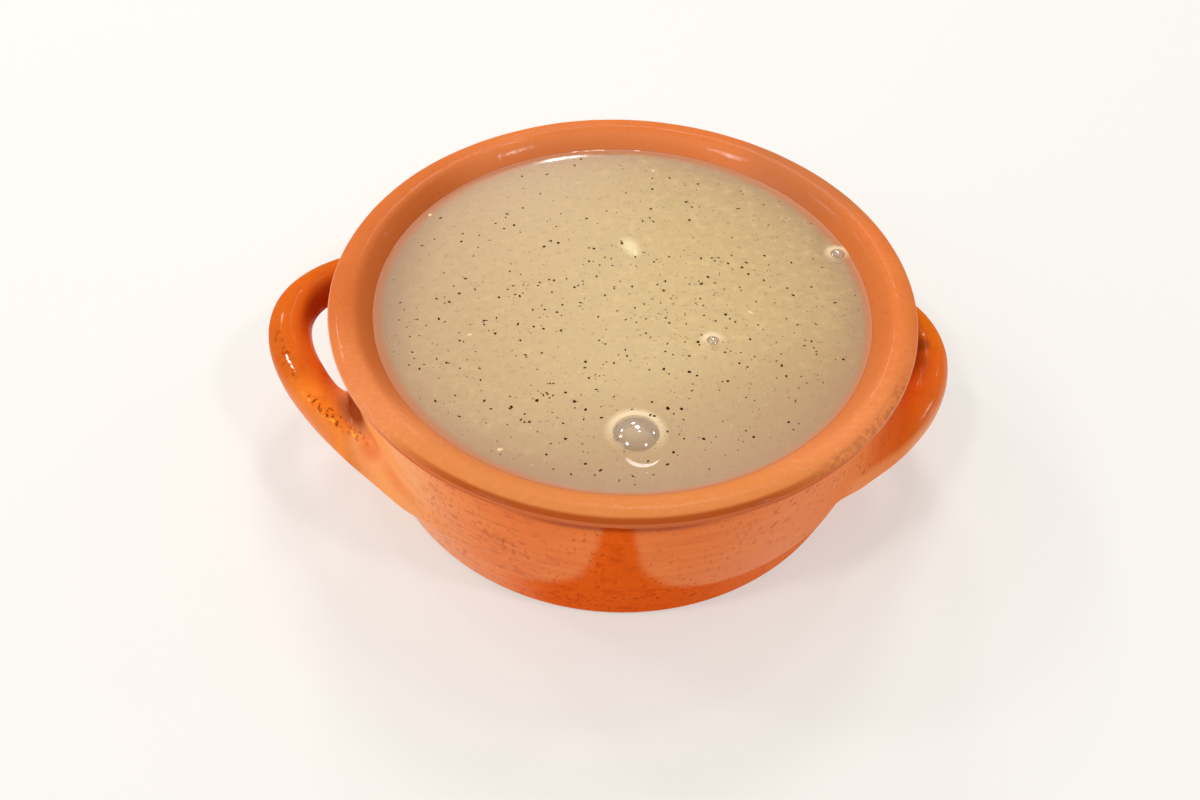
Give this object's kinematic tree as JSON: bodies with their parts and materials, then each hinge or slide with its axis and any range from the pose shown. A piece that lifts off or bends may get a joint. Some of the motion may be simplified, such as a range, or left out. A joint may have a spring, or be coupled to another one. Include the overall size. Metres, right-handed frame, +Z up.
{
  "type": "bowl of walnut soup",
  "caption": "Round glazed clay bowl with loop handles, filled nearly to the brim with thick speckled walnut soup, for serving at the table.",
  "frame": {"origin": "on the floor, at the centre of the bowl's round foot, on the axis that the bowl was turned about", "axes": "+Z up, out of the bowl; the two handles lie along X, with the larger one at -X; -Y is the side that faces the camera"},
  "size_m": [0.1849, 0.15, 0.0529],
  "materials": {
    "glazed_clay": "orange earthenware under a clear glaze, glossy on the wall and handles and satin on the lip",
    "walnut_soup": "opaque beige soup with fine dark specks and a wet satin surface"
  },
  "bodies": {
    "root": {"bowl": "glazed_clay", "soup": "walnut_soup"}
  },
  "joints": []
}
